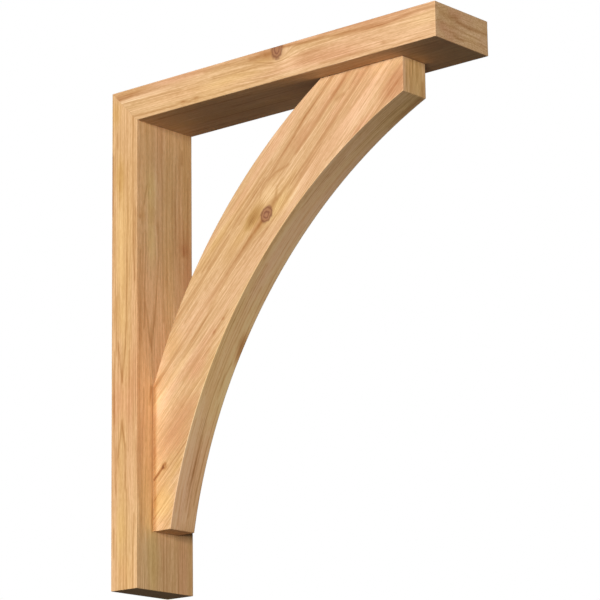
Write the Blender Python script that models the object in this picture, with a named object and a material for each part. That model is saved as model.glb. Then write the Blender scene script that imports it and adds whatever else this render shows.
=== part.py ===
"""A cedar eave bracket: a post against the wall, a top plate mitred to it, and an arched brace between them.

Metres, +Z up. The origin is the middle of the post's back face, which goes against the wall.
The bracket stands out from the wall towards -Y, and its width runs along X.
Outlines are (depth, height) points: the post's and the plate's start from the bracket's top back corner,
and the brace's from the inner corner where post and plate meet.
"""

import math

import bmesh
import bpy

# Driving sizes of the whole bracket
HEIGHT = 0.5588
PROJECTION = 0.4572
WIDTH = 0.0889

# Board thicknesses
POST_THICKNESS = 0.0381
PLATE_THICKNESS = 0.0381
BRACE_THICKNESS = 0.0381

# How far the brace stops short of the plate's front end and of the post's foot
NOSE_SETBACK = 0.0635
FOOT_SETBACK = 0.0635

# The brace's two square-cut ends
NOSE_HEIGHT = 0.0381
FOOT_DEPTH = 0.0254

# How long the brace bears on the post and on the plate
POST_SEAT_LENGTH = 0.15875
PLATE_SEAT_LENGTH = 0.111125

# How far each arc rises above the straight line between its ends
SOFFIT_RISE = 0.0663
BACK_RISE = 0.0315

# Straight steps that an arc is drawn with
SOFFIT_STEPS = 48
BACK_STEPS = 36

# Sanded edges, and the glue line that separates two boards
ARRIS = 0.0008
ARRIS_STEPS = 2
GLUE_LINE = 0.0003

# A corner flatter than this, in degrees, is a step of an arc and is left as it is
ARC_STEP_ANGLE = 15.0

# Sanded, unstained red cedar, in linear colour
CEDAR_ROUGHNESS = 0.62
POST_COLOUR = (0.60, 0.36, 0.17, 1.0)
PLATE_COLOUR = (0.63, 0.38, 0.18, 1.0)
BRACE_COLOUR = (0.66, 0.41, 0.20, 1.0)


def clear_scene():
    for old in list(bpy.data.objects):
        bpy.data.objects.remove(old)


def cedar(name, colour):
    """Sanded cedar in the tone of one board."""
    material = bpy.data.materials.new(name)
    material.use_nodes = True
    shader = material.node_tree.nodes["Principled BSDF"]
    shader.inputs["Base Color"].default_value = colour
    shader.inputs["Roughness"].default_value = CEDAR_ROUGHNESS
    shader.inputs["Metallic"].default_value = 0.0
    return material


def arc(start, end, rise, steps):
    """Points of the arc from start to end, both ends left out, that bulges to the left of the way it runs."""
    chord = math.dist(start, end)
    radius = (chord * chord / 4 + rise * rise) / (2 * rise)
    along = ((end[0] - start[0]) / chord, (end[1] - start[1]) / chord)
    left = (-along[1], along[0])
    centre = (
        (start[0] + end[0]) / 2 + left[0] * (rise - radius),
        (start[1] + end[1]) / 2 + left[1] * (rise - radius),
    )
    half_angle = math.atan2(chord / 2, radius - rise)
    points = []
    for step in range(1, steps):
        angle = half_angle * (2 * step / steps - 1)
        points.append(
            (
                centre[0] + radius * (left[0] * math.cos(angle) + along[0] * math.sin(angle)),
                centre[1] + radius * (left[1] * math.cos(angle) + along[1] * math.sin(angle)),
            )
        )
    return points


def turn_at(outline, index):
    """How far the outline turns at a point, in degrees."""
    before = outline[index - 1]
    here = outline[index]
    after = outline[(index + 1) % len(outline)]
    heading_in = math.atan2(here[1] - before[1], here[0] - before[0])
    heading_out = math.atan2(after[1] - here[1], after[0] - here[0])
    turn = math.degrees(heading_out - heading_in)
    return abs((turn + 180) % 360 - 180)


def board(name, outline, glued, thickness, material):
    """An outline sawn through a board, with its free edges sanded.

    outline runs clockwise as seen from -X, and glued holds the points where a glued face starts,
    whose edges stay sharp.
    """
    shape = bmesh.new()
    count = len(outline)
    sides = []
    for x in (-thickness / 2, thickness / 2):
        sides.append([shape.verts.new((x, -depth, height)) for depth, height in outline])
    near, far = sides
    shape.faces.new(near)
    shape.faces.new(list(reversed(far)))
    for i in range(count):
        j = (i + 1) % count
        shape.faces.new((near[j], near[i], far[i], far[j]))
    bmesh.ops.recalc_face_normals(shape, faces=shape.faces)

    free_edges = []
    for i in range(count):
        j = (i + 1) % count
        if outline[i] not in glued:
            free_edges.append(shape.edges.get((near[i], near[j])))
            free_edges.append(shape.edges.get((far[i], far[j])))
        joins_glued = outline[i] in glued or outline[i - 1] in glued
        if not joins_glued and turn_at(outline, i) > ARC_STEP_ANGLE:
            free_edges.append(shape.edges.get((near[i], far[i])))
    bmesh.ops.bevel(
        shape,
        geom=free_edges,
        offset=ARRIS,
        offset_type="OFFSET",
        segments=ARRIS_STEPS,
        profile=0.5,
        affect="EDGES",
        clamp_overlap=True,
    )

    mesh = bpy.data.meshes.new(name)
    shape.to_mesh(mesh)
    shape.free()
    mesh.materials.append(material)
    made = bpy.data.objects.new(name, mesh)
    bpy.context.scene.collection.objects.link(made)
    return made


def mitre_offsets():
    """How far half the glue line moves the mitre along the back face and along the top face."""
    slant = math.hypot(POST_THICKNESS, PLATE_THICKNESS)
    down_back = GLUE_LINE / 2 * slant / POST_THICKNESS
    along_top = GLUE_LINE / 2 * slant / PLATE_THICKNESS
    return down_back, along_top


def post():
    """The board against the wall, from the mitre at its head to its square foot."""
    down, _ = mitre_offsets()
    foot_back = (0.0, -HEIGHT)
    foot_front = (POST_THICKNESS, -HEIGHT)
    mitre_heel = (POST_THICKNESS, -PLATE_THICKNESS - down)
    mitre_toe = (0.0, -down)
    outline = [foot_back, mitre_toe, mitre_heel, foot_front]
    glued = [mitre_toe]
    return board("post", outline, glued, WIDTH, cedar("post_cedar", POST_COLOUR))


def top_plate():
    """The board that carries the load, from the mitre at the wall to its square front end."""
    _, along = mitre_offsets()
    mitre_toe = (along, 0.0)
    front_top = (PROJECTION, 0.0)
    front_under = (PROJECTION, -PLATE_THICKNESS)
    mitre_heel = (POST_THICKNESS + along, -PLATE_THICKNESS)
    outline = [mitre_toe, front_top, front_under, mitre_heel]
    glued = [mitre_heel]
    return board("top_plate", outline, glued, WIDTH, cedar("plate_cedar", PLATE_COLOUR))


def brace():
    """The arched board in the corner, drawn from the corner where the post meets the plate."""
    nose = PROJECTION - NOSE_SETBACK - POST_THICKNESS
    foot = -(HEIGHT - FOOT_SETBACK - PLATE_THICKNESS)
    foot_back = (GLUE_LINE, foot)
    back_low = (GLUE_LINE, foot + POST_SEAT_LENGTH)
    back_high = (nose - PLATE_SEAT_LENGTH, -GLUE_LINE)
    nose_top = (nose, -GLUE_LINE)
    nose_under = (nose, -NOSE_HEIGHT)
    foot_front = (FOOT_DEPTH, foot)
    back = arc(back_low, back_high, BACK_RISE, BACK_STEPS)
    soffit = arc(foot_front, nose_under, SOFFIT_RISE, SOFFIT_STEPS)
    outline = [foot_back, back_low, *back, back_high, nose_top, nose_under, *reversed(soffit), foot_front]
    glued = [foot_back, back_high]
    return board("brace", outline, glued, BRACE_THICKNESS, cedar("brace_cedar", BRACE_COLOUR))


def build():
    clear_scene()
    wall_mount = bpy.data.objects.new("wall_mount", None)
    bpy.context.scene.collection.objects.link(wall_mount)

    head = HEIGHT / 2
    places = (
        (post(), (0.0, 0.0, head)),
        (top_plate(), (0.0, 0.0, head)),
        (brace(), (0.0, -POST_THICKNESS, head - PLATE_THICKNESS)),
    )
    for piece, location in places:
        piece.parent = wall_mount
        piece.location = location


build()
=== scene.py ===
"""Looks of the cedar eave bracket: three boards of sanded red cedar, cut from the tree one by one.

Metres, +Z up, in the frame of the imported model: the wall is at Y = 0 and the bracket stands out towards -Y.
A place on a board's side is given as (depth from the wall, height), and X runs across the bracket.
"""

import math
from collections import namedtuple
from itertools import product

import bmesh
import bpy
import numpy as np
from mathutils import Euler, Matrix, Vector


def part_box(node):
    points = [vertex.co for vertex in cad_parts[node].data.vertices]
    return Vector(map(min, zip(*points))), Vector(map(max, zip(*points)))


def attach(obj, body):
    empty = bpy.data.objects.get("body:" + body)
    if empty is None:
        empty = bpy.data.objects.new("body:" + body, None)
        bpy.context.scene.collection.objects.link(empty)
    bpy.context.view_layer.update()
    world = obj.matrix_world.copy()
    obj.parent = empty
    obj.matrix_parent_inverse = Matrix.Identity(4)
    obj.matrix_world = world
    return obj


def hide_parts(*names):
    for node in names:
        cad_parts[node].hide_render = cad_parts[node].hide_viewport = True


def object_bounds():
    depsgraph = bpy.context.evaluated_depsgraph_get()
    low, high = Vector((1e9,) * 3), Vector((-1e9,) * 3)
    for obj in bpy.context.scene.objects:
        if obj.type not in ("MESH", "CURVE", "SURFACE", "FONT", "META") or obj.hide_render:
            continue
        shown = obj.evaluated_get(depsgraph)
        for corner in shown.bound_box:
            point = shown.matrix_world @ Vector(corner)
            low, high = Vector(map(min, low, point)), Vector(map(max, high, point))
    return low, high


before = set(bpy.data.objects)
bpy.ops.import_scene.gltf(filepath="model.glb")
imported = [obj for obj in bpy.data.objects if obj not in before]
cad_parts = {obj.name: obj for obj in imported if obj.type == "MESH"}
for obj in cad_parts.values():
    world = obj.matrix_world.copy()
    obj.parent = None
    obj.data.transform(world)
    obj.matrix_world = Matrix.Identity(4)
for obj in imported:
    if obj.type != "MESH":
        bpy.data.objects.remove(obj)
cad_low, cad_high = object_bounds()

MM = 0.001

# The bracket, as the frame gives it
POST_LOW, POST_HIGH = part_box("post")
PLATE_LOW, PLATE_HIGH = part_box("top_plate")
BRACE_LOW, BRACE_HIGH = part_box("brace")
TOP = PLATE_HIGH.z
FOOT = POST_LOW.z
FRONT = -PLATE_LOW.y
POST_THICKNESS = -POST_LOW.y
PLATE_THICKNESS = PLATE_HIGH.z - PLATE_LOW.z
HALF_WIDTH = POST_HIGH.x
BRACE_HALF = BRACE_HIGH.x

# The arched brace, as it is sawn
POST_SEAT_LENGTH = 158.75 * MM
PLATE_SEAT_LENGTH = 111.125 * MM
NOSE_HEIGHT = 38.1 * MM
FOOT_DEPTH = 25.4 * MM
SOFFIT_RISE = 66.3 * MM
BACK_RISE = 31.5 * MM

# Sanded edges: the free ones, and those of the brace where it seats on the post and on the plate
ARRIS = 0.5 * MM
SEAT_ARRIS = 0.35 * MM
ARRIS_ROWS = 3

# How far each board stops short of the other at the mitre
MITRE_GAP = 0.005 * MM

# How finely the boards are meshed, so that their grain stands up as real relief. The soffit is first drawn
# this many times finer, so that its points can be picked to suit the back's
STEP_ALONG = 2.0 * MM
STEP_ROUND = 1.05 * MM
SOFFIT_FINER = 8

# The brace's back edge takes its grain from this far under the soffit, so that the two differ
BACK_UNDER = 100 * MM

# Corners closer than this are one, and edges sharper than this stay crisp
WELD = 0.001 * MM
CRISP_FROM = math.radians(40)

# A map of the whole board for painting: its four long sides in strips, and its two ends beside them
MAP_NAME = "OFBake"
MAP_WRAP = 0.88
MAP_CAPS = 0.90
MAP_FIRST_END = (0.0, 0.48)
MAP_LAST_END = (0.52, 1.0)

# A knot's middle and its half sizes along the grain, across it and into the board
Knot = namedtuple("Knot", "x depth height along across deep")

# A face's two ways, the way out of it and where it lies on that, its grain's slope and its marks
Face = namedtuple("Face", "right up level flat slope streaks patches wraps", defaults=[5.0])

# A board's grain: where the pith is, a hump in the rings beside it, and how wide the rings are and how strong
Board = namedtuple(
    "Board",
    "name node slope pith hump_at hump hump_length ring year_marks fibre_marks tint seed knots faces "
    "sawn_faces",
)

# The columns that a face's two ways and the way out of it are read from
X, DEPTH, HEIGHT = 0, 1, 2
UNDER, RUN = 1, 2


def srgb(code):
    """A hex colour as linear red, green, blue and alpha."""
    parts = [int(code[i : i + 2], 16) / 255 for i in (0, 2, 4)]
    return tuple(c / 12.92 if c <= 0.04045 else ((c + 0.055) / 1.055) ** 2.4 for c in parts) + (1.0,)


# What each board shows of the tree, with some painted shade and light, in millimetres. A place on a side is
# its depth and height, on a front its x and height, and on the brace's soffit its x and its run from the
# foot.
# A streak goes from point to point, each one a place, how wide and what percent dark. A patch is the place of
# its middle, half its length, half its width, and what percent dark, pink and olive. Less than 0 is paler,
# and greyer for pink. wraps is how far a face's marks run on round its edges.

POST_SIDE = Face(
    right=DEPTH, up=HEIGHT, level=X, flat=-HALF_WIDTH, slope=90.0,
    streaks=[
        # Three late rings on the front half, wavering all the way down
        ((32, 246, 1.7, 55), (32, 166, 1.5, 48), (34.5, 60, 1.6, 60)),
        ((36, 140, 1.4, 45), (36.5, 96, 1.4, 40)),
        ((23.5, 196, 1.4, 35), (23.2, 60, 1.6, 55), (21, -15, 1.5, 65)),
        ((26.8, -20, 1.4, 50), (25, -128, 1.4, 45)), ((20.8, -122, 1.8, 70), (20.8, -170, 1.6, 60)),
        ((22.7, -172, 1.5, 60), (23, -279, 1.5, 45)), ((33.7, -200, 1.6, 55), (32.4, -279, 1.6, 50)),
        # Rings behind the pale band
        ((1.2, 205, 2.4, 75), (1, 140, 2, 60)), ((7.3, 44, 1.5, 45), (6.8, -20, 1.4, 50)),
        ((4.4, -18, 1.6, 50), (4.4, -95, 1.5, 55)), ((7, -126, 1.5, 50), (7, -172, 1.5, 45)),
        ((4, -214, 1.7, 50), (3.5, -242, 1.7, 50)), ((8, 230, 2, 40), (8, 215, 2.4, 40)),
        # Two arches of one ring, tip towards tip
        ((15.9, -51, 1.6, 100), (15.9, -38, 5, 30)), ((15.9, -51, 1.8, 85), (20.5, -14, 1.8, 60)),
        ((15.9, -51, 1.8, 85), (10, -8, 1.8, 50)), ((15.9, -96, 1.6, 100), (15.9, -108, 5, 30)),
        ((15.9, -96, 1.8, 85), (20.5, -128, 1.8, 60)), ((15.9, -96, 1.8, 85), (10, -134, 1.8, 50)),
    ],
    patches=[
        (14, 132, 34, 8, -24, 0, 40), (13, 182, 22, 7, 15, 0, 75), (13, 75, 26, 7, -18, 0, 45),
        (14, 20, 24, 6, -10, 0, 50), (15, -73, 26, 12, -5, 90, 0), (30, -60, 40, 7, 10, 70, 0),
        (12, -150, 20, 7, -5, 30, 30), (14, -212, 28, 8, -22, 0, 60), (20, -225, 70, 18, 0, -10, 35),
        (20, 90, 70, 22, 6, 0, 20), (20, 240, 46, 22, -6, 0, 0), (20, -60, 80, 22, 0, 35, 10),
        (20, -262, 14, 10, -5, 50, 20), (6, 255, 16, 6, 5, 10, 80),
    ],
)

POST_FRONT = Face(
    right=X, up=HEIGHT, level=DEPTH, flat=POST_THICKNESS, slope=90.0,
    streaks=[
        ((-5.3, 241, 1.6, 45), (-2, 20, 1.6, 40)), ((-11.6, 241, 1.6, 50), (-11.2, 178, 1.5, 40)),
        ((-11, 127, 2, 60), (-9.4, 93, 1.7, 60), (-13, 52, 1.6, 60), (-21, -16, 1.4, 70)),
        ((-34, 50, 1.5, 40), (-21, -16, 1.4, 70)), ((-21, -14, 1, 70), (-21, 14, 5, 20)),
        ((-30, 114, 1.5, 50), (-33, 8, 1.6, 50)), ((-35, 112, 1.5, 40), (-37, -10, 1.5, 50)),
        ((-39, 92, 1.5, 50), (-40, -40, 1.5, 30)), ((-29, 168, 1.4, 50), (-33, 148, 1.4, 50)),
        ((-34, -62, 1.5, 50), (-37, -208, 1.5, 40)), ((-40, -40, 1.5, 35), (-41, -180, 1.5, 40)),
        ((-29, -40, 1.5, 30), (-30.5, -214, 1.5, 25)), ((-38, -90, 1.5, 30), (-38.5, -216, 1.5, 35)),
        ((12, 241, 1.5, 30), (14, 60, 1.5, 35)), ((18, 200, 1.5, 35), (17, 100, 1.5, 45)),
        ((24, 230, 1.5, 30), (25, 70, 1.5, 40)), ((32, 241, 1.5, 35), (33, 160, 1.5, 30)),
        ((38, 190, 1.6, 30), (38, 100, 1.6, 40)), ((28.5, 219, 2.6, 40), (28.5, 206, 3, 45)),
        ((30, 140, 3, 20), (31, 100, 5, 40)), ((-3, -217, 1.6, 60), (-3, -279, 1.6, 60)),
        ((-6.5, -217, 1.5, 40), (-6.5, -279, 1.5, 35)), ((-12, -217, 1.4, 35), (-12, -279, 1.4, 35)),
        ((20, -217, 1.5, 35), (21, -279, 1.5, 35)),
        # Painted contact shadow along both sides of the brace's seat on the post, darkest in the near corner
        ((-20, -62, 3.2, 70), (-20, -215, 3, 60)), ((-21.5, -58, 4, 90), (-25, -76, 2.4, 40)),
        ((20, -62, 5, 60), (20, -215, 5, 60)),
    ],
    patches=[
        # A soft reddish knot and a dark pin knot
        (31.7, 107, 6, 6, 22, 60, 0), (32, 104, 2.6, 2, 8, 10, 0), (-39.5, 132, 2.6, 2.2, 40, 20, 0),
        (-36, 134, 9, 5, 20, 10, 20), (-22, 163, 24, 9, -28, -30, 100), (-22, 106, 26, 8, -28, -30, 100),
        (-21, 137, 12, 6, 8, 0, 30), (34, 160, 90, 11, 12, 50, 0), (0, 150, 90, 60, 3, -25, 0),
        (38, 60, 60, 8, 25, 90, 0), (6, 150, 110, 13, 0, 0, 35), (-37, 190, 50, 6, -10, 30, 0),
        (-30, -185, 50, 14, -4, -15, 40), (-30, -120, 60, 8, -5, 20, 20), (-25, -196, 26, 6, -6, -20, 20),
        (-20, -246, 40, 12, -22, -35, 90), (30, -250, 40, 12, 10, 60, 0),
    ],
)

PLATE_SIDE = Face(
    right=DEPTH, up=HEIGHT, level=X, flat=-HALF_WIDTH, slope=0.0,
    streaks=[
        # A dark reddish ring that the mitre cuts
        ((9, 270.5, 4.6, 85), (42, 272, 4, 50)), ((42, 272, 3.6, 45), (90, 271.5, 2.6, 10)),
        ((18, 264.2, 1.4, 45), (103, 261.6, 1.4, 35)), ((30, 260.8, 1.3, 30), (130, 259, 1.3, 30)),
        # A wavering ring with two pin knots near the lower edge
        ((32, 246.2, 1.8, 60), (98, 245.6, 2, 68), (106, 247.4, 2, 70), (118, 245.6, 2, 65),
         (126, 247.3, 2, 68), (138, 245.7, 1.8, 45), (230, 246.4, 1.5, 30)),
        # The ring that runs into the knot at the top edge, and on to the front end
        ((140, 273.4, 3.8, 35), (205, 272.8, 4.6, 50)), ((205, 272.8, 5.4, 85), (236, 273.6, 6, 110)),
        ((252, 276.6, 2.4, 85), (304, 274.2, 2.6, 75)),
        ((304, 274.2, 3.4, 60), (345, 272.4, 4, 65), (390, 270, 4.4, 60)),
        ((390, 270, 3.2, 60), (436, 274.2, 2.5, 53), (457, 273.6, 2.4, 50)),
        ((152, 263.2, 1.4, 50), (236, 262.6, 1.4, 40)), ((152, 265.4, 1.3, 35), (214, 265.6, 1.3, 30)),
        ((304, 246.6, 2, 50), (372, 246.2, 2, 55)), ((372, 246.2, 1.6, 40), (440, 243.6, 1.6, 30)),
        ((262, 262.5, 1.3, 35), (300, 262, 1.3, 30)),
    ],
    patches=[
        # Pin knots
        (107, 245.6, 2.8, 2.2, 55, 20, 10), (107, 245.8, 1.2, 0.9, -60, 0, 0),
        (127, 246.2, 2.8, 2.2, 55, 20, 10), (127, 246.4, 1.2, 0.9, -60, 0, 0), (389, 250, 3, 2.4, 35, 20, 0),
        (30, 276, 34, 4, 10, 0, 60), (110, 276, 50, 4, 0, 60, 0), (36, 266.5, 40, 2.2, -30, 0, 10),
        (95, 256, 50, 6, -5, 45, 0), (110, 258, 120, 30, 0, 30, 10), (150, 253, 24, 7, -10, 0, 30),
        (190, 257, 40, 7, -5, 0, 45), (228, 268, 16, 3.4, 30, 20, 50), (262, 257, 14, 9, -30, 0, 15),
        (288, 257, 46, 10, 10, 70, 0), (300, 278, 120, 2.4, 15, 80, 0), (380, 272, 70, 5, 5, 80, 0),
        (330, 250, 40, 6, 0, 60, 0), (372, 258, 60, 9, -6, 30, 0), (440, 262, 18, 10, -20, 10, 15),
    ],
)

PLATE_END = Face(
    right=X, up=HEIGHT, level=DEPTH, flat=FRONT, slope=0.0,
    streaks=[
        # Rings across the end grain
        ((-36, 268, 5, 35), (-8, 267.5, 6, 55)), ((-8, 265.5, 3, 80), (14, 263.4, 3.4, 85)),
        ((14, 263.4, 3.2, 70), (44, 264.6, 2.4, 40)), ((-40, 259, 2, 25), (-12, 257.5, 2, 40)),
        ((-12, 257.5, 1.6, 45), (30, 255.5, 1.6, 40)), ((-30, 252, 1.6, 35), (44, 250, 1.6, 35)),
        ((-12, 248.5, 2, 50), (2, 247.5, 2.6, 60)),
    ],
    patches=[
        (-25, 255, 14, 7, 10, 70, 0), (20, 257, 16, 5, -25, 20, 0), (-14, 273, 14, 4, 15, 60, 0),
        (-36, 247, 8, 4, -10, 0, 40),
    ],
)

PLATE_UNDER = Face(
    right=DEPTH, up=X, level=HEIGHT, flat=PLATE_LOW.z, slope=0.0,
    streaks=[
        ((60, -30, 2, 50), (190, -28, 2, 40)), ((90, 12, 2.2, 40), (240, 16, 1.8, 50)),
        ((150, -8, 1.8, 30), (330, -10, 1.8, 40)), ((40, 30, 2, 50), (160, 33, 2.4, 30)),
        ((300, 34, 2, 30), (450, 30, 2, 40)),
    ],
    patches=[
        # Painted shade: the whole underside darker than the faces that show, greyer near the post to take out
        # the warm light it gets from the post, and a little paler in the middle
        (228, 0, 420, 90, 36, 0, 0), (150, 0, 170, 90, 0, -100, 0), (225, 0, 75, 80, -16, 0, 0),
    ],
    wraps=0.7,
)

BRACE_SIDE = Face(
    right=DEPTH, up=HEIGHT, level=X, flat=-BRACE_HALF, slope=44.5,
    streaks=[
        # The tail of the knot, down to the seat on the post
        ((199, 101, 4.4, 95), (183, 86, 3.9, 73), (164, 68, 2.6, 40)),
        ((164, 68, 1.9, 40), (139, 44, 1.6, 30), (80, -18, 1.8, 45)),
        ((80, -18, 2.2, 50), (58, -40, 2.9, 60), (38, -60, 5.4, 115)),
        # Painted contact shadow along the seat on the post
        ((40.4, -60, 4.2, 95), (40.4, -215, 4.2, 90)),
        # Fine rings just below the tail
        ((205, 90, 1.5, 50), (150, 38, 1.5, 48), (70, -38, 1.5, 40)),
        ((186, 78, 1.4, 35), (146, 40, 1.4, 35)),
        ((160, 43, 1.4, 40), (112, -4, 1.4, 40), (44, -70, 1.4, 40)),
        ((196, 74, 1.4, 30), (150, 30, 1.4, 35)),
        # Fine rings on the back of the brace, beside the knot
        ((104, 58, 1.5, 45), (180, 133, 1.5, 55)),
        ((112, 60, 1.5, 65), (134, 82, 1.5, 55), (196, 142, 1.4, 60)),
        ((120, 62, 1.4, 60), (150, 93, 1.4, 55)), ((157, 101, 1.5, 55), (202, 146, 1.5, 65)),
        ((166, 103, 1.4, 60), (196, 134, 1.4, 50)), ((190, 128, 1.4, 55), (222, 160, 1.4, 55)),
        ((182, 134, 1.4, 55), (212, 164, 1.4, 50)), ((116, 40, 3, 35), (132, 57, 2.6, 30)),
        ((86, 8, 2.4, 35), (104, 25, 2.4, 30)),
        # Dark rings above the knot
        ((208, 146, 1.6, 30), (224, 164, 2, 45), (242, 183, 2.2, 60)),
        ((242, 183, 2.2, 75), (262, 205, 2.5, 83), (284, 225, 2.4, 85)),
        ((284, 225, 2.4, 70), (301, 241, 2.8, 60)),
        ((247, 166, 2.4, 35), (268, 186, 2.8, 43), (300, 218, 3.4, 50)),
        ((300, 218, 3.8, 60), (322, 241, 4.6, 60)),
        ((240, 134, 2.2, 40), (262, 154, 2.6, 53), (282, 174, 2.9, 63), (304, 196, 3.4, 65)),
        ((304, 196, 3.2, 50), (328, 219, 3, 50), (349, 241, 3.6, 60)),
        ((211, 112, 6, 60), (217, 121, 3.6, 60)),
        ((217, 121, 2.6, 60), (220, 134, 2.4, 50), (231, 148, 2.2, 35)),
        ((218, 119, 3.2, 60), (232, 131, 2.7, 50), (247, 146, 2.2, 30)),
        # An arch of one ring over the knot
        ((195, 124, 1.6, 25), (197, 133, 1.7, 48), (206, 143, 1.8, 50), (218, 150, 1.9, 50)),
        ((218, 150, 2.2, 50), (236, 155, 2.6, 40)), ((304, 213, 4, 50), (313, 217, 3.4, 50)),
        ((290, 150, 1.6, 35), (330, 178, 1.6, 40)), ((322, 222, 1.6, 50), (333, 235, 1.8, 50)),
        ((252, 140, 1.5, 35), (282, 168, 1.5, 30)), ((226, 112, 1.5, 30), (262, 146, 1.5, 35)),
        ((336, 196, 1.5, 30), (372, 232, 1.5, 30)),
        # A reddish ring through two pin knots
        ((148, 10, 1.9, 60), (126, -13, 1.8, 65)), ((126, -13, 1.7, 50), (84, -56, 1.5, 30)),
        ((142, -8, 1.4, 35), (112, -36, 1.4, 30)),
        # The pin knot at the foot, and the rings under it
        ((40, -160, 2.8, 150), (53, -148, 2.6, 130)),
        ((56, -145, 1.7, 80), (66, -135, 1.6, 53), (92, -110, 1.4, 35)),
        ((42, -166, 1.5, 60), (62, -148, 1.5, 58), (88, -123, 1.5, 50)),
        ((46, -168, 1.4, 50), (64, -152, 1.4, 50), (86, -131, 1.4, 45)),
        ((64, -140, 1.3, 35), (90, -116, 1.3, 30)), ((50, -207, 1.4, 40), (70, -188, 1.4, 35)),
        ((56, -207, 1.4, 35), (68, -195, 1.4, 35)), ((42, -178, 1.3, 30), (60, -160, 1.3, 20)),
    ],
    patches=[
        # Pin knots, the last one at the foot
        (141.5, 2.5, 2.4, 1.9, 45, 60, 0), (128.3, -9.9, 2.4, 1.9, 40, 60, 0),
        (54.6, -146.1, 3.1, 2.9, 160, 40, 0), (54.9, -145.9, 1.5, 1.4, -140, 0, 0),
        (188, 108, 12, 6.5, 66, -20, 80), (179, 100, 9, 4.8, 40, -20, 80), (154, 75, 20, 6, 14, 0, 30),
        (166, 88, 10, 5, 12, 10, 30), (189, 96, 9, 4, -10, 30, 0), (207, 128, 12, 7, -24, 0, 10),
        (214, 114, 52, 20, 0, -10, 40), (226, 113, 22, 8, -26, 0, 60), (250, 128, 22, 6, -25, 0, 30),
        (208, 174, 40, 8, 0, 50, 0), (165, 125, 26, 6, 10, 80, 10), (118, 90, 30, 7, 5, 60, 0),
        (134, 92, 24, 5, 0, 0, 40), (292, 215, 40, 6, 8, 60, 0), (256, 182, 16, 6, 10, 50, 0),
        (240, 168, 20, 8, 10, 10, 0), (230, 172, 50, 9, 24, 0, 0), (318, 206, 60, 26, 12, 0, 0),
        (300, 200, 26, 5, -10, 60, 0), (275, 195, 85, 22, -4, 15, -35), (318, 178, 50, 9, -25, 30, 0),
        (345, 208, 40, 8, -30, 20, 0), (335, 233, 14, 5, -10, 70, 0), (362, 236, 14, 7, -25, 0, 50),
        (384, 214, 22, 15, 42, 100, 0), (330, 168, 30, 5, 10, 70, 0), (112, 16, 50, 8, 0, 30, 0),
        # At depth 48 and height -76, beside the seat on the post, the paler olive patch is painted light: the
        # glow thrown back from the post
        (142, 38, 26, 10, -20, 0, 10), (68, -14, 18, 10, 10, 0, 60), (48, -76, 22, 10, -45, 0, 40),
        (78, -42, 26, 6, -30, 0, 30), (116, -24, 30, 8, 5, 60, 0), (106, -48, 16, 11, 5, 80, 0),
        (84, -98, 34, 22, 20, 100, 0), (60, -128, 24, 10, 0, 90, 0), (74, -148, 14, 5, 5, 0, 40),
        # The last patch is a faint olive tint along the seat on the post, part of the painted contact shadow
        # there
        (54, -188, 20, 16, -15, 0, 110), (40.4, -136, 90, 50, 0, 0, 10),
    ],
)

SOFFIT = Face(
    right=X, up=RUN, level=UNDER, flat=0.0, slope=90.0,
    streaks=[
        ((0.5, 22, 1.8, 50), (1.2, 60, 2.4, 120), (1.5, 104, 2.6, 75)),
        ((1.5, 104, 1.6, 65), (0.5, 150, 1.5, 45), (3.5, 277, 1.5, 60)),
        ((5.5, 16, 1.6, 50), (5, 96, 1.6, 50)), ((-8, 6, 1.5, 35), (-10.5, 42, 1.5, 30)),
        ((-4, 50, 1.4, 35), (-5, 120, 1.4, 40)), ((8.5, 148, 1.8, 50), (7, 172, 2.2, 70), (10, 187, 2, 50)),
        ((-6, 200, 1.4, 35), (-5, 277, 1.4, 40)), ((-9, 270, 1.5, 50), (-8.5, 303, 1.5, 50)),
        ((-6, 272, 1.5, 45), (-5.5, 303, 1.5, 50)), ((-15.5, 311, 3, 40), (-15.5, 372, 3, 35)),
        ((-8, 380, 1.5, 50), (-7, 425, 1.5, 50)), ((-5, 405, 1.5, 45), (-5, 450, 1.5, 50)),
        ((1, 465, 1.8, 35), (1.5, 525, 1.8, 40)), ((3, 470, 1.8, 35), (3, 545, 1.8, 45)),
        ((14, 505, 4, 35), (13, 552, 8, 70)), ((-14, 20, 1.4, 35), (-14, 120, 1.4, 40)),
        ((12, 30, 1.5, 45), (13, 140, 1.5, 35)), ((-12, 150, 1.4, 35), (-12, 260, 1.4, 40)),
        ((-3, 160, 1.3, 30), (-1, 250, 1.3, 35)), ((12, 250, 1.5, 40), (11, 360, 1.5, 35)),
        ((4, 300, 1.4, 35), (5, 400, 1.4, 40)), ((-13, 390, 1.4, 35), (-12, 500, 1.4, 35)),
        ((9, 400, 1.4, 35), (8, 490, 1.4, 40)),
        # The nose, above the soffit's end
        ((-7, 592, 1.6, 50), (-7, 574, 1.6, 35)), ((-2.4, 592, 1.8, 55), (-2.4, 578, 1.8, 40)),
        ((5.5, 592, 1.8, 65), (5.2, 571, 1.8, 50)), ((-13, 574, 1.6, 50), (-12, 556, 1.6, 50)),
        ((-5, 572, 1.6, 45), (-6, 556, 1.6, 45)), ((14, 570, 4, 40), (13, 556, 5, 60)),
    ],
    patches=[
        (0, 262, 330, 60, -53, 45, 75), (8, 50, 50, 10, 12, 80, 0), (-10, 35, 45, 8, -10, 70, 0),
        (-12, 100, 40, 5, -30, 35, 0), (12, 95, 35, 5, -15, 60, 0), (0, 195, 62, 16, 0, 0, 80),
        (14, 175, 14, 4, -30, 20, 20), (16, 204, 14, 4.5, 90, 90, 10), (12, 216, 10, 5, 50, 20, 80),
        (0, 350, 80, 14, -5, 35, 0), (5, 430, 55, 8, -5, 10, 30), (0, 530, 36, 30, 20, 0, 30),
        (-11, 580, 14, 4, 15, 30, 50), (4, 580, 20, 12, 4, 20, 80), (0, -14, 16, 40, 50, 20, 0),
    ],
)

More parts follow.
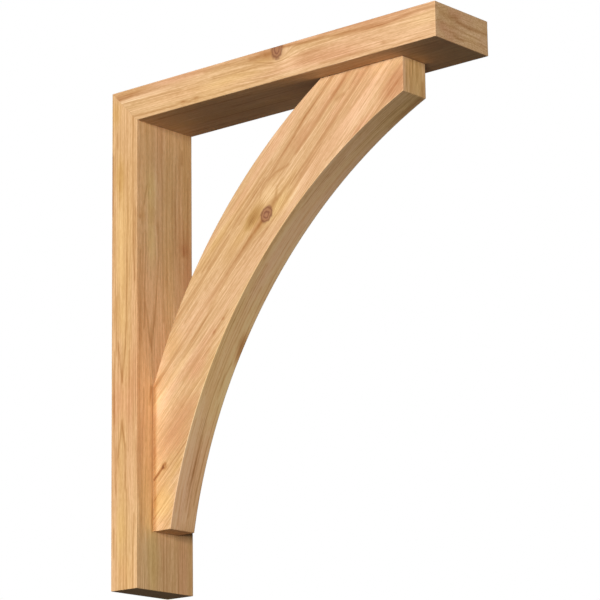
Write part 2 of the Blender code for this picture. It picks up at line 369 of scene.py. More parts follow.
POST = Board(
    name="cedar_post", node="post", slope=90.0,
    pith=(-21.5, 16.0), hump_at=-73.0, hump=2.6, hump_length=100.0,
    ring=2.3, year_marks=0.40, fibre_marks=0.88, tint="FFFBF2", seed=11,
    knots=[], faces=[POST_SIDE, POST_FRONT], sawn_faces=[],
)

PLATE = Board(
    name="cedar_top_plate", node="top_plate", slope=0.0,
    pith=(14.0, 120.0), hump_at=310.0, hump=2.0, hump_length=90.0,
    ring=3.0, year_marks=0.28, fibre_marks=0.94, tint="FFFFFF", seed=23,
    knots=[Knot(-44.5, 243.5, 276.5, 7.4, 11.0, 13.0)],
    faces=[PLATE_SIDE, PLATE_END, PLATE_UNDER], sawn_faces=[],
)

BRACE = Board(
    name="cedar_brace", node="brace", slope=44.5,
    pith=(110.0, -58.0), hump_at=160.0, hump=2.0, hump_length=140.0,
    ring=2.6, year_marks=0.46, fibre_marks=0.85, tint="FFFFFF", seed=37,
    knots=[Knot(-19.0, 204.5, 106.4, 8.8, 7.2, 44.0)], faces=[BRACE_SIDE], sawn_faces=[SOFFIT],
)


# Where each point of a board lay in the tree. These all work in millimetres. Each use of the noise adds a
# number of its own to the board's seed.

# Whole numbers that scramble the corners of a grid into noise, and the middle of one of its cells
NOISE_STEPS = (73856093, 19349663, 83492791)
NOISE_SEED_STEP = 2654435761
NOISE_MIXER = 1274126177
NOISE_LIMIT = 0x7FFFFFFF
CELL_MIDDLE = 0.5

# How far off a knot is where there is none: its rim is 1. Fibres sweep round it further along than across
NO_KNOT = 99.0
KNOT_SWEEP = 2.4

# How the trunk wandered, in waves and in ripples: their size over X, across and along the grain, and how far
# they push the rings along X and across
WANDER = [((60, 45, 230), 1.6, 2.0), ((13, 13, 80), 0.5, 0.5)]

# How quickly the rings' width changes from year to year, and by how many rings in all
YEARS_PACE = 0.23
YEARS_SWING = 1.1

# Marks wobble as grain does: the wobble's size along and across, how far it goes, and a finer one in it
WOBBLE_ALONG, WOBBLE_ACROSS = 22, 30
WOBBLE, FINE_WOBBLE, WOBBLE_FINER = 0.55, 0.3, 2.7

# A streak fades past its ends and at its sides, as far as is worth working out, and is uneven along its run
TAIL, TAIL_END = 2.5, 2.5
SIDE_FADE, SIDE_END = 1.6, 1.8
UNEVEN, UNEVEN_RUN = 0.3, 16

# A patch is frayed along the grain and fades out at its rim
FRAY_ALONG, FRAY_ACROSS = 30, 7
FRAY, FINE_FRAY, FRAY_FINER = 0.35, 0.2, 2.3
PATCH_FADE, PATCH_RIM = 0.9, 1.3

# The faintest mark that shows, and how quickly end grain gives way to side grain as a face turns
FAINTEST = 0.01
END_GRAIN_TURN = 3

# Sanding leaves soft early wood lower than late wood, which stands highest at this share of a year's ring,
# and the face in slight dips of this size
LATE_WOOD_AT = 0.87
RING_RELIEF = 0.012 * MM
DIP, DIP_SIZE = 0.04 * MM, 26


def directions(slope):
    """The way the grain runs on a face, and the way across it, as (right, up)."""
    angle = math.radians(slope)
    return (math.cos(angle), math.sin(angle)), (-math.sin(angle), math.cos(angle))


def turned(right, up, slope):
    """How far along the grain and across it places on a face lie."""
    along, across = directions(slope)
    return right * along[0] + up * along[1], right * across[0] + up * across[1]


def soft_noise(places, seed):
    """Smooth noise from -1 to 1 that changes over about one unit of the places given."""
    cell = np.floor(places).astype(np.int64)
    part = places - cell
    part = part * part * (3 - 2 * part)
    total = np.zeros(len(places))
    for corner in product((0, 1), repeat=3):
        at = cell + corner
        mixed = np.bitwise_xor.reduce(at * NOISE_STEPS, axis=1) ^ (seed * NOISE_SEED_STEP)
        mixed = (mixed ^ (mixed >> 13)) * NOISE_MIXER & NOISE_LIMIT
        value = (mixed ^ (mixed >> 16)) / (NOISE_LIMIT // 2) - 1
        weight = np.prod(np.where(np.array(corner) == 1, part, 1 - part), axis=1)
        total += value * weight
    return total


def knot_reach(board, here):
    """How far off the nearest knot each place is, 1 at its rim, and how far knots push the fibres aside."""
    along, across = turned(here[:, DEPTH], here[:, HEIGHT], board.slope)
    reaches, lifts = [np.full(len(here), NO_KNOT)], [np.zeros(len(here))]
    for knot in board.knots:
        knot_along, knot_across = turned(knot.depth, knot.height, board.slope)
        aside = across - knot_across
        ahead = along - knot_along
        inward = (here[:, X] - knot.x) / knot.deep
        reaches.append(np.sqrt((ahead / knot.along) ** 2 + (aside / knot.across) ** 2 + inward**2))
        swept = (ahead / knot.along / KNOT_SWEEP) ** 2 + (aside / knot.across) ** 2 + inward**2
        lifts.append(aside / np.maximum(swept, 1.0))
    return np.min(reaches, axis=0), np.sum(lifts, axis=0)


def tree_place(board, here, follows_edge=False):
    """A place's two ways across the trunk, and its way along it. A sawn edge's grain follows its own run."""
    _, lift = knot_reach(board, here)
    if follows_edge:
        along, across = here[:, RUN], here[:, UNDER]
        pith_across = across
    else:
        along, across = turned(here[:, DEPTH], here[:, HEIGHT], board.slope)
        across = across - lift
        pith_across = board.pith[1]
    hump = board.hump * np.exp(-(((along - board.hump_at) / board.hump_length) ** 2))
    u = here[:, X] - board.pith[0] - hump
    v = across - pith_across
    spot = np.stack([here[:, X], across, along], 1)
    for number, (size, sideways, upward) in enumerate(WANDER):
        u += sideways * soft_noise(spot / size, board.seed + 2 + number)
        v += upward * soft_noise(spot / size, board.seed + number)
    return np.stack([u, v, along], 1)


def ring_count(board, place):
    """How many rings lie between the pith and a place. Their widths differ from year to year."""
    count = np.hypot(place[:, 0], place[:, 1]) / board.ring
    middle = np.full(len(count), CELL_MIDDLE)
    years = np.stack([count * YEARS_PACE, middle, middle], 1)
    return count + YEARS_SWING * soft_noise(years, board.seed + 4)


def face_marks(face, here, seed):
    """How dark, how pink and how olive the streaks and patches of a face make each place."""
    into = (here[:, face.level] - face.flat / MM) / face.wraps
    shown = np.exp(-(into**2))
    right, up = here[:, face.right], here[:, face.up]
    along, across = turned(right, up, face.slope)
    middle = np.full(len(along), CELL_MIDDLE)
    wobble = np.stack([along / WOBBLE_ALONG, across / WOBBLE_ACROSS, middle], 1)
    shake = WOBBLE * soft_noise(wobble, seed) + FINE_WOBBLE * soft_noise(wobble * WOBBLE_FINER, seed + 1)
    aside = directions(face.slope)[1]
    right, up = right + shake * aside[0], up + shake * aside[1]
    marks = np.zeros((len(right), 3))
    strokes = [stroke for streak in face.streaks for stroke in zip(streak, streak[1:])]
    for number, (start, end) in enumerate(np.array(strokes, float)):
        step = end - start
        run = math.hypot(*step[:2])
        ahead = step[:2] / run
        share = ((right - start[0]) * ahead[0] + (up - start[1]) * ahead[1]) / run
        off = (up - start[1]) * ahead[0] - (right - start[0]) * ahead[1]
        past = np.maximum(np.abs(share - 0.5) - 0.5, 0) * run / TAIL
        beside = np.abs(off) < SIDE_END * max(start[2], end[2])
        near = (past < TAIL_END) & beside & (shown > FAINTEST)
        share, past, off = share[near].clip(0, 1), past[near], off[near]
        width, dark = start[2:, None] + step[2:, None] * share
        uneven = np.stack([along[near] / UNEVEN_RUN, middle[near] + number, middle[near]], 1)
        dark = dark * (1 + UNEVEN * soft_noise(uneven, seed + 5))
        dark = dark * np.exp(-((off / width * SIDE_FADE) ** 2) - past**2)
        marks[near, 0] = np.maximum(marks[near, 0], dark)
    ragged = np.stack([along / FRAY_ALONG, across / FRAY_ACROSS, middle], 1)
    fray = FRAY * soft_noise(ragged, seed + 6) + FINE_FRAY * soft_noise(ragged * FRAY_FINER, seed + 7)
    for patch_right, patch_up, half_length, half_width, *tints in face.patches:
        patch_along, patch_across = turned(patch_right, patch_up, face.slope)
        far = ((along - patch_along) / half_length) ** 2 + ((across - patch_across) / half_width) ** 2
        marks += np.exp(-PATCH_FADE * (far * (1 + fray)) ** PATCH_RIM)[:, None] * np.array(tints)
    return marks * shown[:, None] / 100


def sunk(board, here, place):
    """How far sanding has sunk each point into the board, in metres: soft early wood lies below late wood."""
    part = ring_count(board, place) % 1.0
    late = 0.5 + 0.5 * np.cos(2 * math.pi * (part - LATE_WOOD_AT))
    hollow = 1 + soft_noise(here / DIP_SIZE, board.seed + 9)
    return RING_RELIEF * (1 - late) + DIP * hollow


# Shapes


def arc_points(start, end, rise, steps):
    """Points of the arc from start to end, both included, that bulges to the left of the way it runs."""
    start, end = np.array(start), np.array(end)
    chord = np.linalg.norm(end - start)
    radius = (chord**2 / 4 + rise**2) / (2 * rise)
    ahead = (end - start) / chord
    left = np.array((-ahead[1], ahead[0]))
    centre = (start + end) / 2 + left * (rise - radius)
    half_angle = math.atan2(chord / 2, radius - rise)
    angles = np.linspace(-half_angle, half_angle, steps + 1)
    return centre + radius * (np.outer(np.cos(angles), left) + np.outer(np.sin(angles), ahead))


def line_points(start, end, steps):
    """Points of a straight line from start to end, both included."""
    return np.array(start) + np.linspace(0, 1, steps + 1)[:, None] * (np.array(end) - np.array(start))


def steps_for(length, step):
    """How many steps of about this size a length takes."""
    return max(2, round(length / step))


def run_of(points):
    """How far along a line each of its points lies."""
    return np.concatenate([[0], np.cumsum(np.linalg.norm(np.diff(points, axis=0), axis=1))])


def section_loop(across_steps, face_steps):
    """Once round a board's section: places on its flat core and the way the arris leads out from them."""
    corners = [(0.0, -1.0), (1.0, -1.0), (1.0, 1.0), (0.0, 1.0)]
    core, out = [], []
    for number, (start, end) in enumerate(zip(corners, corners[1:] + corners[:1])):
        steps = face_steps if number % 2 else across_steps
        turn = (number - 1 + np.linspace(0, 1, ARRIS_ROWS + 1)[:-1]) * math.pi / 2
        turn = np.concatenate([np.full(steps, turn[0]), turn])
        core += [line_points(start, end, steps), np.tile(end, (ARRIS_ROWS - 1, 1))]
        out.append(np.stack([np.cos(turn), np.sin(turn)], 1))
    return np.concatenate(core), np.concatenate(out)


def end_rows(first, second, arris):
    """Rows that round a board's end over: how far each lies towards the next station, and how flat it is."""
    turn = np.linspace(0, math.pi / 2, ARRIS_ROWS + 1)
    gap = np.linalg.norm(second - first)
    return arris * (1 - np.cos(turn)) / gap, 1 - np.sin(turn)


def board_mesh(name, back, front, half, back_arris, front_arris, end_arrises, edge_run=None):
    """A board as a fine mesh. back and front are the two edges of its side, station by station.

    edge_run gives the distance along the sawn edge at each station, where the edges' grain is drawn along it.
    """
    count = len(back)
    shares, flats = end_rows(back[0], back[1], end_arrises[0])
    last_shares, last_flats = end_rows(back[-1], back[-2], end_arrises[1])
    place = np.concatenate([shares, np.arange(1, count - 1), count - 1 - last_shares[::-1]])
    flat = np.concatenate([flats, np.zeros(count - 2), last_flats[::-1]])
    low = np.minimum(place.astype(int), count - 2)
    share = place - low

    def between(values):
        """Values at the rows, from those at the stations."""
        part = share[:, None] if values.ndim == 2 else share
        return values[low] * (1 - part) + values[low + 1] * part

    back, front = between(back), between(front)
    back_arris, front_arris = between(back_arris), between(front_arris)
    reach = front - back
    width = np.linalg.norm(reach, axis=1)
    ahead = reach / width[:, None]

    across_steps = steps_for(width.max(), STEP_ROUND)
    face_steps = steps_for(2 * half, STEP_ROUND)
    core, out = section_loop(across_steps, face_steps)
    a, x = core[:, 0], core[:, 1]
    arris = back_arris[:, None] * (1 - a) + front_arris[:, None] * a
    side = back_arris[:, None] + a * (width - back_arris - front_arris)[:, None]
    side = side + (1 - flat)[:, None] * arris * out[:, 0]
    over = x * (half - arris) + (1 - flat)[:, None] * arris * out[:, 1]
    level = back[:, None, :] + ahead[:, None, :] * side[..., None]
    loops = np.stack([over, -level[..., 0], level[..., 1]], 2)
    rows, around = loops.shape[:2]
    points = list(loops.reshape(-1, 3))
    index = np.arange(rows * around).reshape(rows, around)

    run = run_of((back + front) / 2)
    girth = run_of(np.concatenate([loops[rows // 2], loops[rows // 2][:1]]))
    u, v = np.meshgrid(run / run[-1] * MAP_WRAP, girth / girth[-1], indexing="ij")
    faces = [quads(np.concatenate([index, index[:, :1]], 1)[..., None])[..., 0]]
    maps = [quads(np.stack([u, v], 2))]

    # On the edges: how far along the sawn edge each corner lies, and how far under the soffit
    sawn = between(edge_run) if edge_run is not None else run
    soffit_end = across_steps + 2 * ARRIS_ROWS + face_steps
    corner = np.arange(around + 1)
    under = np.where((corner >= across_steps) & (corner <= soffit_end), 0.0, BACK_UNDER)
    sawn_run, sawn_under = np.meshgrid(sawn, under, indexing="ij")
    edges = [quads(np.stack([sawn_under, sawn_run], 2))]
    strip = corner[:-1]
    on_side = (strip < across_steps) | ((strip >= soffit_end) & (strip < soffit_end + across_steps))
    on_edge = [np.tile(~on_side, rows - 1)]

    for row, map_end, past in ((0, MAP_FIRST_END, -1), (rows - 1, MAP_LAST_END, 1)):
        grid, extra = cap_grid(index[row], loops[row], across_steps, face_steps, len(points))
        points += list(extra)
        cap_u = np.linspace(MAP_CAPS, 1, across_steps + 1)
        cap_v = np.linspace(*map_end, face_steps + 1)
        u, v = np.meshgrid(cap_u, cap_v, indexing="ij")
        inward = np.linspace(width[row], 0, across_steps + 1)
        past_run = sawn[row] + past * np.repeat(inward[:, None], face_steps + 1, 1)
        faces.append(quads(grid[..., None])[..., 0])
        maps.append(quads(np.stack([u, v], 2)))
        edges.append(quads(np.stack([np.zeros_like(past_run), past_run], 2)))
        on_edge.append(np.ones(across_steps * face_steps, bool))
    faces, maps = np.concatenate(faces), np.concatenate(maps)
    edges, on_edge = np.concatenate(edges), np.concatenate(on_edge)

    mesh = bpy.data.meshes.new(name)
    mesh.from_pydata([tuple(p) for p in points], [], faces.tolist())
    layer = mesh.uv_layers.new(name=MAP_NAME)
    layer.data.foreach_set("uv", maps.reshape(-1).astype(np.float32))
    sawn_corner = np.repeat(on_edge & (edge_run is not None), 4).reshape(-1, 4, 1)
    store(mesh, "sawn_edge", np.concatenate([sawn_corner, edges], 2))
    return mesh


def quads(grid):
    """The four corners of each square of a grid of values."""
    corners = np.stack([grid[:-1, :-1], grid[1:, :-1], grid[1:, 1:], grid[:-1, 1:]], 2)
    return corners.reshape(-1, 4, grid.shape[-1])


def store(mesh, name, values):
    """Keeps a row of three values for each corner of a mesh's faces, under a name."""
    layer = mesh.attributes.new(name, "FLOAT_VECTOR", "CORNER")
    layer.data.foreach_set("vector", np.ascontiguousarray(values, np.float32).reshape(-1))


def counts(items, field):
    """A whole number from each of a mesh's items."""
    values = np.empty(len(items), np.int32)
    items.foreach_get(field, values)
    return values


def rows_of(items, field):
    """A row of three values from each of a mesh's items."""
    values = np.empty(len(items) * 3, np.float32)
    items.foreach_get(field, values)
    return values.reshape(-1, 3).astype(float)


def cap_grid(ring, places, across_steps, face_steps, first_free):
    """A grid of points over a board's end that shares the ring of points round it."""
    turns = ARRIS_ROWS - 1
    front = across_steps + 1 + turns
    far = front + face_steps + 1 + turns
    back = far + across_steps + 1 + turns
    grid = np.full((across_steps + 1, face_steps + 1), -1)
    grid[:, 0] = ring[: across_steps + 1]
    grid[:, -1] = ring[far : far + across_steps + 1][::-1]
    grid[-1, 1:-1] = ring[front + 1 : front + face_steps]
    grid[0, 1:-1] = ring[back + 1 : back + face_steps][::-1]
    inner = grid[1:-1, 1:-1]
    inner[:] = first_free + np.arange(inner.size).reshape(inner.shape)
    a = np.linspace(0, 1, across_steps + 1)[1:-1, None, None]
    start = places[back + 1 : back + face_steps][::-1]
    end = places[front + 1 : front + face_steps]
    extra = start[None] * (1 - a) + end[None] * a
    return grid, extra.reshape(-1, 3)


def finish_board(board, mesh):
    """Welds the board, gives it its grain, raises the grain's relief and puts the piece in the frame."""
    shape = bmesh.new()
    shape.from_mesh(mesh)
    bmesh.ops.remove_doubles(shape, verts=shape.verts, dist=WELD)
    bmesh.ops.recalc_face_normals(shape, faces=shape.faces)
    shape.to_mesh(mesh)
    shape.free()

    points = rows_of(mesh.vertices, "co")
    normals = rows_of(mesh.vertex_normals, "vector")
    here = np.stack([points[:, 0], -points[:, 1], points[:, 2]], 1) / MM
    lain = tree_place(board, here)
    reach, _ = knot_reach(board, here)
    marks = sum(face_marks(face, here, board.seed + 20) for face in board.faces)

    corner = counts(mesh.loops, "vertex_index")
    sides = counts(mesh.polygons, "loop_total")
    sawn_edge = mesh.attributes["sawn_edge"]
    sawn = rows_of(sawn_edge.data, "vector")
    on_edge = sawn[:, X] > 0
    place, marks = lain[corner], marks[corner]
    if on_edge.any():
        sawn = sawn[on_edge] / MM
        sawn[:, X] = here[corner[on_edge], X]
        place[on_edge] = tree_place(board, sawn, follows_edge=True)
        marks[on_edge] = sum(face_marks(face, sawn, board.seed + 30) for face in board.sawn_faces)
    rings = ring_count(board, place)

    along = directions(board.slope)[0]
    flats = rows_of(mesh.polygons, "normal")
    facing = np.abs(-flats[:, 1] * along[0] + flats[:, 2] * along[1])
    end_grain = np.repeat(facing**END_GRAIN_TURN, sides)
    end_grain[on_edge] = 0.0
    mesh.attributes.remove(sawn_edge)
    store(mesh, "tree_place", place)
    store(mesh, "growth", np.stack([rings, reach[corner], end_grain], 1))
    store(mesh, "marks", marks)

    points -= normals * sunk(board, here, lain)[:, None]
    points = points.clip(cad_low, cad_high)
    mesh.vertices.foreach_set("co", points.astype(np.float32).reshape(-1))
    mesh.materials.append(sanded_cedar(board))
    mesh.shade_smooth()
    mesh.set_sharp_from_angle(angle=CRISP_FROM)
    mesh.update()
    piece = stand(board.name, mesh)
    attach(piece, "root")
    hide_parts(board.node)


def stand(name, data):
    """Makes an object of its data and stands it in the scene."""
    made = bpy.data.objects.new(name, data)
    bpy.context.scene.collection.objects.link(made)
    return made


def cedar_post():
    """The wall post: square at its foot, mitred at its head."""
    steps = steps_for(TOP - FOOT, STEP_ALONG)
    back = line_points((0.0, FOOT), (0.0, TOP - MITRE_GAP), steps)
    front = line_points((POST_THICKNESS, FOOT), (POST_THICKNESS, TOP - PLATE_THICKNESS - MITRE_GAP), steps)
    edge = np.full(steps + 1, ARRIS)
    mesh = board_mesh(POST.name, back, front, HALF_WIDTH, edge, edge, (ARRIS, 0.0))
    finish_board(POST, mesh)


def cedar_top_plate():
    """The top plate: mitred at the wall, square at its front end."""
    steps = steps_for(FRONT, STEP_ALONG)
    top = line_points((MITRE_GAP, TOP), (FRONT, TOP), steps)
    under_height = TOP - PLATE_THICKNESS
    under = line_points((POST_THICKNESS + MITRE_GAP, under_height), (FRONT, under_height), steps)
    edge = np.full(steps + 1, ARRIS)
    mesh = board_mesh(PLATE.name, top, under, HALF_WIDTH, edge, edge, (0.0, ARRIS))
    finish_board(PLATE, mesh)


def cedar_brace():
    """The arched brace, drawn from its foot to its nose: the back edge seats on the post and on the plate."""
    seat = -BRACE_HIGH.y
    nose = -BRACE_LOW.y
    foot = BRACE_LOW.z
    plate_seat = BRACE_HIGH.z
    back_low = (seat, foot + POST_SEAT_LENGTH)
    back_high = (nose - PLATE_SEAT_LENGTH, plate_seat)
    foot_front = (POST_THICKNESS + FOOT_DEPTH, foot)
    nose_under = (nose, TOP - PLATE_THICKNESS - NOSE_HEIGHT)
    back_length = math.dist(back_low, back_high)
    low_steps = steps_for(POST_SEAT_LENGTH, STEP_ALONG)
    arc_steps = steps_for(back_length, STEP_ALONG)
    high_steps = steps_for(PLATE_SEAT_LENGTH, STEP_ALONG)
    low = line_points((seat, foot), back_low, low_steps)[:-1]
    arc = arc_points(back_low, back_high, BACK_RISE, arc_steps)
    high = line_points(back_high, (nose, plate_seat), high_steps)[1:]
    back = np.concatenate([low, arc, high])

    # The soffit's points are picked so that those nearest the back's two corners lie across from them
    soffit_steps = (low_steps + arc_steps + high_steps) * SOFFIT_FINER
    soffit = arc_points(foot_front, nose_under, SOFFIT_RISE, soffit_steps)
    low_pick, high_pick = [np.argmin(((soffit - corner) ** 2).sum(1)) for corner in (back_low, back_high)]
    low = np.linspace(0, low_pick, low_steps + 1)[:-1]
    arc = np.linspace(low_pick, high_pick, arc_steps + 1)
    high = np.linspace(high_pick, soffit_steps, high_steps + 1)[1:]
    front = soffit[np.round(np.concatenate([low, arc, high])).astype(int)]

    front_arris = np.full(len(back), ARRIS)
    back_arris = front_arris.copy()
    back_arris[: low_steps + 1] = SEAT_ARRIS
    back_arris[low_steps + arc_steps :] = SEAT_ARRIS
    ends = (ARRIS, ARRIS)
    mesh = board_mesh(BRACE.name, back, front, BRACE_HALF, back_arris, front_arris, ends, run_of(front))
    finish_board(BRACE, mesh)


# Materials

# Colours of bare red cedar by shade: 0 is early wood and 1 late wood
PALEST_AT, EARLY_AT, PLAIN_AT, LATE_AT, DARKEST_AT = -0.25, 0.0, 0.36, 1.0, 1.4
WOOD_COLOURS = [
    (PALEST_AT, srgb("FFDDB2")),
    (EARLY_AT, srgb("F6CB9C")),
    (PLAIN_AT, srgb("DCAE7B")),
    (LATE_AT, srgb("B9804C")),
    (DARKEST_AT, srgb("8C5833")),
]
WOOD_STOPS = [((shade - PALEST_AT) / (DARKEST_AT - PALEST_AT), colour) for shade, colour in WOOD_COLOURS]
PINK_TINT = srgb("FEF1F5")
OLIVE_TINT = srgb("FCFBDF")
GREY_TINT = srgb("E2EFFF")

# A knot from its middle to its rim, where the bark was
KNOT_WOOD = srgb("AC7850")
KNOT_CORE = srgb("B57F5A")
KNOT_RIM = srgb("8A563A")
KNOT_STOPS = [
    (0.0, KNOT_WOOD), (0.2, KNOT_CORE), (0.45, KNOT_RIM),
    (0.6, KNOT_CORE), (0.76, KNOT_WOOD), (0.9, KNOT_RIM),
]
KNOT_GRAIN = 4.5 * MM

# How dark a ring gets through its year: slowly through summer, then pale again at once
RING_STOPS = [(0.0, 0.0), (0.35, 0.0), (0.80, 0.8), (0.90, 1.0), (1.0, 0.0)]

# Grain drawn out along the board: how wide and how long its streaks are in millimetres, how strongly they
# show, and a shift that keeps one kind clear of the next. A fibre is about 0.03 mm across, too fine to show,
# so the threads, shreds and flecks of fibre are drawn about 1 mm across.
Grain = namedtuple("Grain", "across along strength shift")
THREADS = Grain(1.0, 170, 0.19, 1.0)
SHREDS = Grain(1.1, 30, 0.15, 5.0)
FLECKS = Grain(0.9, 6, 0.14, 9.0)
BANDS = Grain(3, 60, 0.08, 13.0)
LIGHT_DRIFT = Grain(19, 220, 0.06, 17.0)
HUE_DRIFT = Grain(24, 260, 1.0, 21.0)
RING_DRIFT = Grain(11, 110, 1.0, 3.0)

# Every kind has one finer layer in it
NOISE_DETAIL = 1.0

# The ground between rings is this much paler than plain wood, and a mark of 1 darkens it by this much shade
GROUND_PALER = 0.13
MARK_SHADE = 0.72

# A quarter of the years leave hardly a ring. Rings fade along the board and are a little darker on end grain
FAINT_YEARS, FAINT_RING = 0.25, 0.06
FADE_SWING, FADED_RING = 0.7, 0.15
END_GRAIN_RINGS = 0.1

# How far the drift of hue goes to pink one way and to olive the other
DRIFT_TO_PINK = 0.5
DRIFT_TO_OLIVE = -0.35

# How ragged a knot's rim is, and where the knot ends and the board's own wood starts
BARK_SWING = 0.25
KNOT_INSIDE, KNOT_OUTSIDE = 0.8, 1.3

# The feel of the sanded face
EARLY_ROUGHNESS, LATE_ROUGHNESS = 0.62, 0.52
WOOD_IOR = 1.5
NAP_HEIGHT = 0.1 * MM
NAP_SHOWS = 0.09

# Inputs and the output of a Mix node that mixes colours
FACTOR, FIRST, SECOND = 0, 6, 7
MIXED = 2


def grey(value):
    """A grey of this linear brightness."""
    return (value, value, value, 1.0)


def emptied(holder):
    """The node tree of a material or a world, with nothing in it yet."""
    holder.use_nodes = True
    holder.node_tree.nodes.clear()
    return holder.node_tree


def add(tree, kind, links=None, stops=None, output=0, **settings):
    """Adds a shader node with its settings and gives back one of its outputs, or all where output is None.

    links holds a value or another node's output for each of its inputs, and stops a ramp's colours.
    """
    node = tree.nodes.new("ShaderNode" + kind)
    for name, value in settings.items():
        setattr(node, name, value)
    for name, value in (links or {}).items():
        if isinstance(value, bpy.types.NodeSocket):
            tree.links.new(value, node.inputs[name])
        else:
            node.inputs[name].default_value = value
    if stops:
        ramp = node.color_ramp
        while len(ramp.elements) < len(stops):
            ramp.elements.new(1.0)
        for element, (position, colour) in zip(ramp.elements, stops):
            element.position = position
            element.color = colour
    return node.outputs if output is None else node.outputs[output]


def sanded_cedar(board):
    """Western red cedar, planed, sanded and left bare.

    The eye gets a warm honey ground that drifts to pink and to olive, fine dark rings, a fleck of fibres and
    no gloss.
    """
    material = bpy.data.materials.new(f"sanded_red_cedar_{board.node}")
    tree = emptied(material)
    place = add(tree, "Attribute", attribute_name="tree_place", output="Vector")
    growth = add(tree, "Attribute", attribute_name="growth", output="Vector")
    rings, knot, end_grain = add(tree, "SeparateXYZ", {0: growth}, output=None)
    marks = add(tree, "Attribute", attribute_name="marks", output="Vector")
    dark, pink, olive = add(tree, "SeparateXYZ", {0: marks}, output=None)

    def with_grain(grain, share=1.0, onto=0.0):
        """Adds one kind of grain to a tone: it swings to both sides of it by about its strength."""
        sizes = (1 / grain.across, 1 / grain.across, 1 / grain.along)
        start = (grain.shift, grain.shift, board.seed)
        scaled = add(tree, "VectorMath", {0: place, 1: sizes, 2: start}, operation="MULTIPLY_ADD")
        noise = add(tree, "TexNoise", {"Vector": scaled, "Scale": 1.0, "Detail": NOISE_DETAIL})
        swing = 2 * grain.strength * share
        level = add(tree, "Math", {0: noise, 1: 2 * swing, 2: -swing}, operation="MULTIPLY_ADD")
        return add(tree, "Math", {0: level, 1: onto}, operation="ADD")

    # Late wood darkens towards the end of each year's ring, and some years far more than others
    part = add(tree, "Math", {0: rings}, operation="FRACT")
    ring_stops = [(position, grey(value)) for position, value in RING_STOPS]
    late = add(tree, "ValToRGB", {"Fac": part}, stops=ring_stops)
    number = add(tree, "Math", {0: rings}, operation="FLOOR")
    year = add(tree, "TexWhiteNoise", {"W": number}, noise_dimensions="1D", output="Value")
    limits = {"Value": year, "From Min": FAINT_YEARS, "To Min": FAINT_RING, "To Max": board.year_marks}
    year = add(tree, "MapRange", limits, interpolation_type="SMOOTHSTEP")
    year = add(tree, "Math", {0: end_grain, 1: END_GRAIN_RINGS, 2: year}, operation="MULTIPLY_ADD")
    drift = with_grain(RING_DRIFT)
    limits = {"Value": drift, "From Min": -FADE_SWING, "From Max": FADE_SWING, "To Min": FADED_RING}
    fading = add(tree, "MapRange", limits, interpolation_type="SMOOTHSTEP")
    strength = add(tree, "Math", {0: year, 1: fading}, operation="MULTIPLY")
    ground = PLAIN_AT - GROUND_PALER
    shade = add(tree, "Math", {0: late, 1: strength, 2: ground}, operation="MULTIPLY_ADD")

    # Fibres, from long threads to short flecks, then broader bands and drifts of light and dark
    fibres = 0.0
    for grain in (THREADS, SHREDS, FLECKS):
        fibres = with_grain(grain, board.fibre_marks, fibres)
    shade = add(tree, "Math", {0: shade, 1: fibres}, operation="ADD")
    for grain in (BANDS, LIGHT_DRIFT):
        shade = with_grain(grain, 1.0, shade)
    shade = add(tree, "Math", {0: dark, 1: MARK_SHADE, 2: shade}, operation="MULTIPLY_ADD")
    tone = add(tree, "MapRange", {"Value": shade, "From Min": PALEST_AT, "From Max": DARKEST_AT})
    wood = add(tree, "ValToRGB", {"Fac": tone}, stops=WOOD_STOPS)

    # The board's own hue, and its pink, olive and grey parts
    hue = with_grain(HUE_DRIFT)
    parts = {0: hue, 1: DRIFT_TO_PINK, 2: pink}
    pinker = add(tree, "Math", parts, operation="MULTIPLY_ADD", use_clamp=True)
    parts = {0: hue, 1: DRIFT_TO_OLIVE, 2: olive}
    greener = add(tree, "Math", parts, operation="MULTIPLY_ADD", use_clamp=True)
    greyer = add(tree, "Math", {0: pink, 1: -1.0}, operation="MULTIPLY", use_clamp=True)
    tints = ((1.0, srgb(board.tint)), (pinker, PINK_TINT), (greener, OLIVE_TINT), (greyer, GREY_TINT))
    for share, tint in tints:
        layers = {FACTOR: share, FIRST: wood, SECOND: tint}
        wood = add(tree, "Mix", layers, data_type="RGBA", blend_type="MULTIPLY", output=MIXED)

    # Knots, with a ragged rim
    where = add(tree, "TexCoord", output="Object")
    bark = add(tree, "TexNoise", {"Vector": where, "Scale": 1 / KNOT_GRAIN, "Detail": NOISE_DETAIL})
    bark = add(tree, "Math", {0: bark, 1: 2 * BARK_SWING, 2: -BARK_SWING}, operation="MULTIPLY_ADD")
    ragged = add(tree, "Math", {0: knot, 1: bark}, operation="ADD")
    knot_wood = add(tree, "ValToRGB", {"Fac": ragged}, stops=KNOT_STOPS)
    limits = {"Value": ragged, "From Min": KNOT_OUTSIDE, "From Max": KNOT_INSIDE}
    inside = add(tree, "MapRange", limits, interpolation_type="SMOOTHSTEP")
    layers = {FACTOR: inside, FIRST: wood, SECOND: knot_wood}
    wood = add(tree, "Mix", layers, data_type="RGBA", output=MIXED)

    # Hard late wood takes a little more polish from the sanding than soft early wood
    limits = {"Value": shade, "To Min": EARLY_ROUGHNESS, "To Max": LATE_ROUGHNESS}
    roughness = add(tree, "MapRange", limits, interpolation_type="SMOOTHSTEP")
    nap = add(tree, "Bump", {"Height": fibres, "Strength": NAP_SHOWS, "Distance": NAP_HEIGHT})
    cedar = {"Base Color": wood, "Roughness": roughness, "IOR": WOOD_IOR, "Normal": nap}
    surface = add(tree, "BsdfPrincipled", cedar)
    add(tree, "OutputMaterial", {"Surface": surface}, output=None)
    return material


# The studio

CAMERA_PLACE = Vector((-2.2973, -2.1938, -0.7356))
CAMERA_AIM = Vector((-0.0191, -0.2500, 0.0045))
CAMERA_ROLL = math.radians(-0.729)
CAMERA_LENS, CAMERA_FILM = 176.69, 36.0
CAMERA_REACH = 200.0

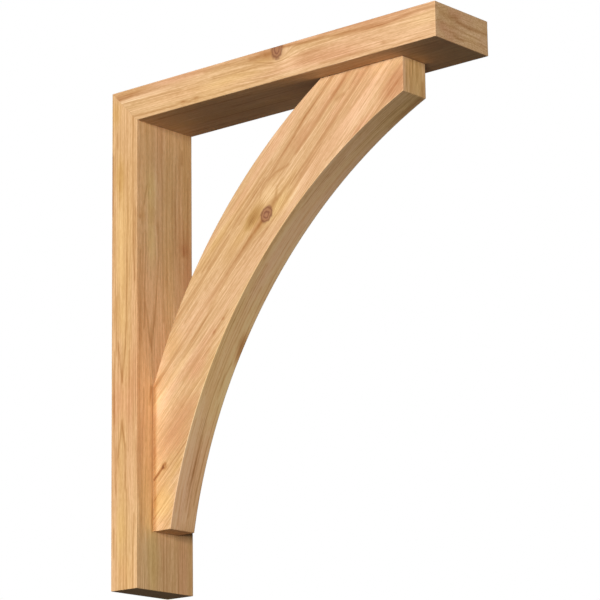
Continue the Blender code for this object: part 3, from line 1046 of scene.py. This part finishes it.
# A light's way from the bracket, how bright it makes a white card that faces it, its distance and its width
Softbox = namedtuple("Softbox", "name toward card distance width")
KEY_LIGHT = Softbox("key_light", (-0.88, -0.465, 0.0), 1.11, 8.0, 2.4)
BACK_LIGHT = Softbox("back_light", (0.6, 0.5, 0.62), 0.7, 8.0, 4.0)
ROOM_LIGHT = 0.055

FLOOR_HEIGHT = -4.0
FLOOR_SIZE = 60.0
FLOOR_PAINT = srgb("F4F3F0")
FLOOR_ROUGHNESS = 0.8
FLOOR_GLOW = 0.7


def aimed(name, data, place, aim, roll=0.0):
    """Stands a camera or a light at a place and turns it to face its aim."""
    made = stand(name, data)
    made.location = place
    made.rotation_mode = "QUATERNION"
    level = (aim - place).to_track_quat("-Z", "Y")
    made.rotation_quaternion = level @ Euler((0.0, 0.0, roll)).to_quaternion()
    return made


def camera():
    """The camera, out from the corner between the bracket's near side and its front, and a little low."""
    data = bpy.data.cameras.new("camera")
    data.lens = CAMERA_LENS
    data.sensor_width = CAMERA_FILM
    data.clip_end = CAMERA_REACH
    bpy.context.scene.camera = aimed("camera", data, CAMERA_PLACE, CAMERA_AIM, CAMERA_ROLL)


def softbox(box):
    """A square soft light that faces the bracket."""
    data = bpy.data.lights.new(box.name, "AREA")
    data.size = box.width
    data.energy = math.pi**2 * box.card * box.distance**2
    aimed(box.name, data, Vector(box.toward).normalized() * box.distance, Vector())


def studio():
    """A white room: soft light from the near side, a weaker one behind, and a pale floor far below."""
    softbox(KEY_LIGHT)
    softbox(BACK_LIGHT)

    world = bpy.data.worlds.new("white_room")
    bpy.context.scene.world = world
    tree = emptied(world)
    seen = add(tree, "LightPath", output="Is Camera Ray")
    dim = add(tree, "Background", {"Color": grey(1.0), "Strength": ROOM_LIGHT})
    white = add(tree, "Background", {"Color": grey(1.0), "Strength": 1.0})
    both = add(tree, "MixShader", {0: seen, 1: dim, 2: white})
    add(tree, "OutputWorld", {"Surface": both}, output=None)

    bpy.context.scene.view_settings.view_transform = "Standard"

    floor_mesh = bpy.data.meshes.new("floor")
    half = FLOOR_SIZE / 2
    corners = [(x * half, y * half, FLOOR_HEIGHT) for x, y in ((-1, -1), (1, -1), (1, 1), (-1, 1))]
    floor_mesh.from_pydata(corners, [], [(0, 1, 2, 3)])
    floor = stand("floor", floor_mesh)
    paint = bpy.data.materials.new("pale_floor_paint")
    tree = emptied(paint)
    look = {"Base Color": FLOOR_PAINT, "Roughness": FLOOR_ROUGHNESS}
    glow = {"Emission Color": FLOOR_PAINT, "Emission Strength": FLOOR_GLOW}
    surface = add(tree, "BsdfPrincipled", look | glow)
    add(tree, "OutputMaterial", {"Surface": surface}, output=None)
    floor_mesh.materials.append(paint)
    floor.visible_diffuse = False
    floor.visible_glossy = False


cedar_post()
cedar_top_plate()
cedar_brace()
camera()
studio()
